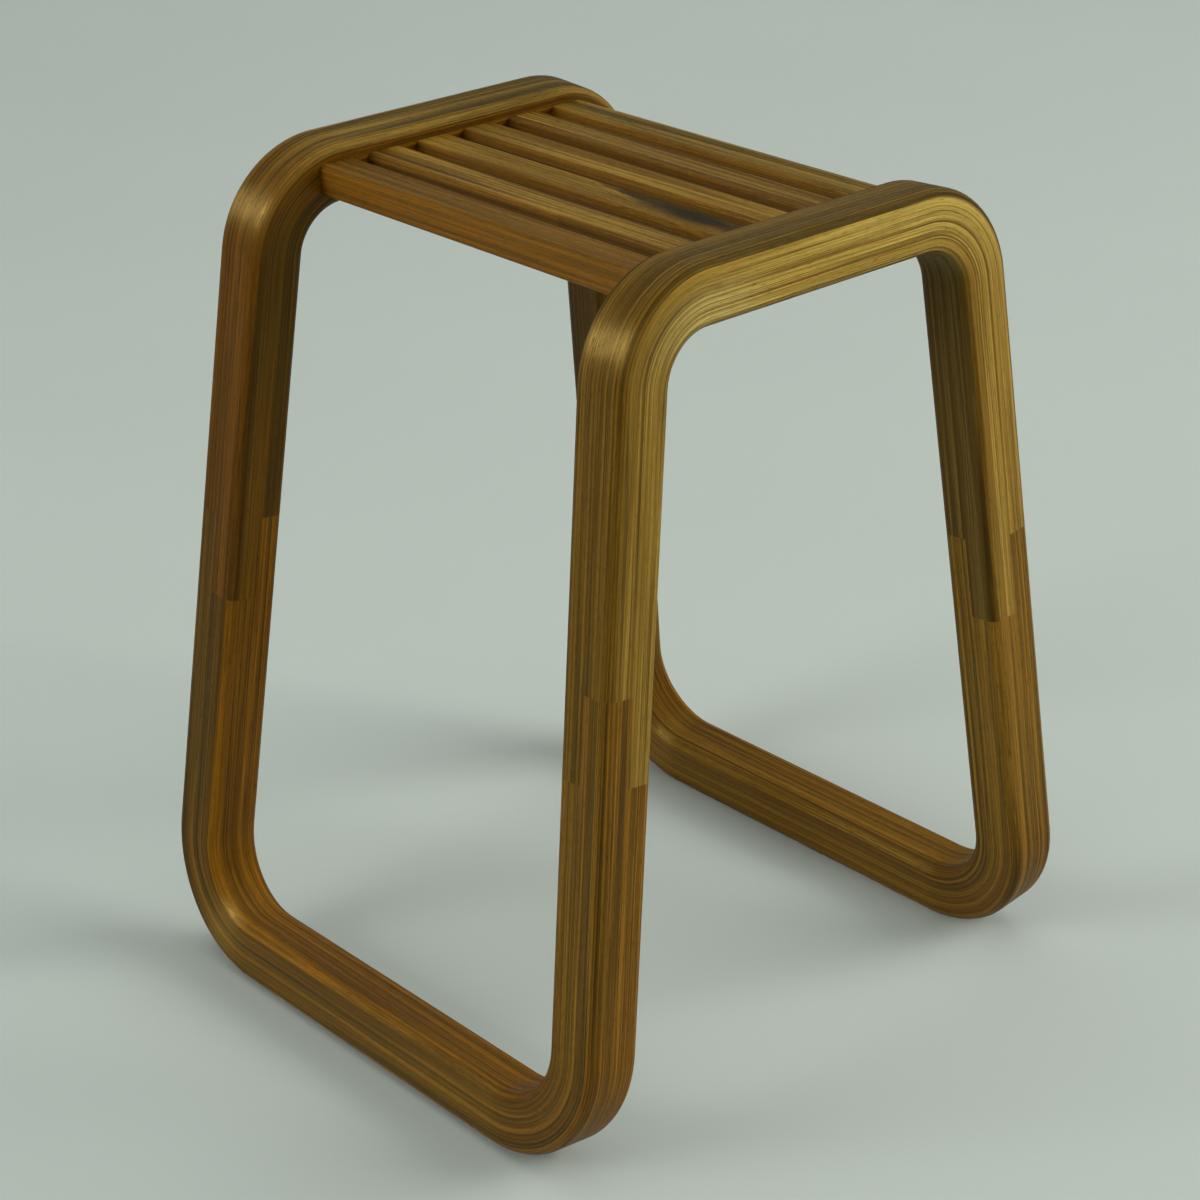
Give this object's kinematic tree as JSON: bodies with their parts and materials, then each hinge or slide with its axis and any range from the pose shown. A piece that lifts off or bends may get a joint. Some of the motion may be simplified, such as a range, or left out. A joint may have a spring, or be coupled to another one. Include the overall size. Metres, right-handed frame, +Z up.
{
  "type": "slatted bentwood stool",
  "caption": "Bentwood stool: a slatted seat held between laminated upper hoops, whose legs are finger jointed into laminated floor hoops.",
  "frame": {"origin": "centre of the footprint, on the floor", "axes": "+Z up, +X to the right, along the slats and the floor bars, +Y to the back, along the upper bars"},
  "size_m": [0.3416, 0.358, 0.45],
  "materials": {
    "upper_hoop_wood": "satin",
    "lower_hoop_wood": "satin",
    "slat_wood": "satin",
    "dowel_wood": "matt"
  },
  "bodies": {
    "root": {"upper_hoop_left_ply_1": "upper_hoop_wood", "upper_hoop_left_ply_2": "upper_hoop_wood", "upper_hoop_left_ply_3": "upper_hoop_wood", "upper_hoop_left_ply_4": "upper_hoop_wood", "upper_hoop_left_ply_5": "upper_hoop_wood", "upper_hoop_left_ply_6": "upper_hoop_wood", "upper_hoop_left_ply_7": "upper_hoop_wood", "upper_hoop_left_ply_8": "upper_hoop_wood", "upper_hoop_right_ply_1": "upper_hoop_wood", "upper_hoop_right_ply_2": "upper_hoop_wood", "upper_hoop_right_ply_3": "upper_hoop_wood", "upper_hoop_right_ply_4": "upper_hoop_wood", "upper_hoop_right_ply_5": "upper_hoop_wood", "upper_hoop_right_ply_6": "upper_hoop_wood", "upper_hoop_right_ply_7": "upper_hoop_wood", "upper_hoop_right_ply_8": "upper_hoop_wood", "lower_hoop_front_ply_1": "lower_hoop_wood", "lower_hoop_front_ply_2": "lower_hoop_wood", "lower_hoop_front_ply_3": "lower_hoop_wood", "lower_hoop_front_ply_4": "lower_hoop_wood", "lower_hoop_front_ply_5": "lower_hoop_wood", "lower_hoop_front_ply_6": "lower_hoop_wood", "lower_hoop_front_ply_7": "lower_hoop_wood", "lower_hoop_front_ply_8": "lower_hoop_wood", "lower_hoop_back_ply_1": "lower_hoop_wood", "lower_hoop_back_ply_2": "lower_hoop_wood", "lower_hoop_back_ply_3": "lower_hoop_wood", "lower_hoop_back_ply_4": "lower_hoop_wood", "lower_hoop_back_ply_5": "lower_hoop_wood", "lower_hoop_back_ply_6": "lower_hoop_wood", "lower_hoop_back_ply_7": "lower_hoop_wood", "lower_hoop_back_ply_8": "lower_hoop_wood", "seat_slat_1": "slat_wood", "seat_slat_2": "slat_wood", "seat_slat_3": "slat_wood", "seat_slat_4": "slat_wood", "seat_slat_5": "slat_wood", "seat_slat_6": "slat_wood", "slat_dowels": "dowel_wood"}
  },
  "joints": []
}
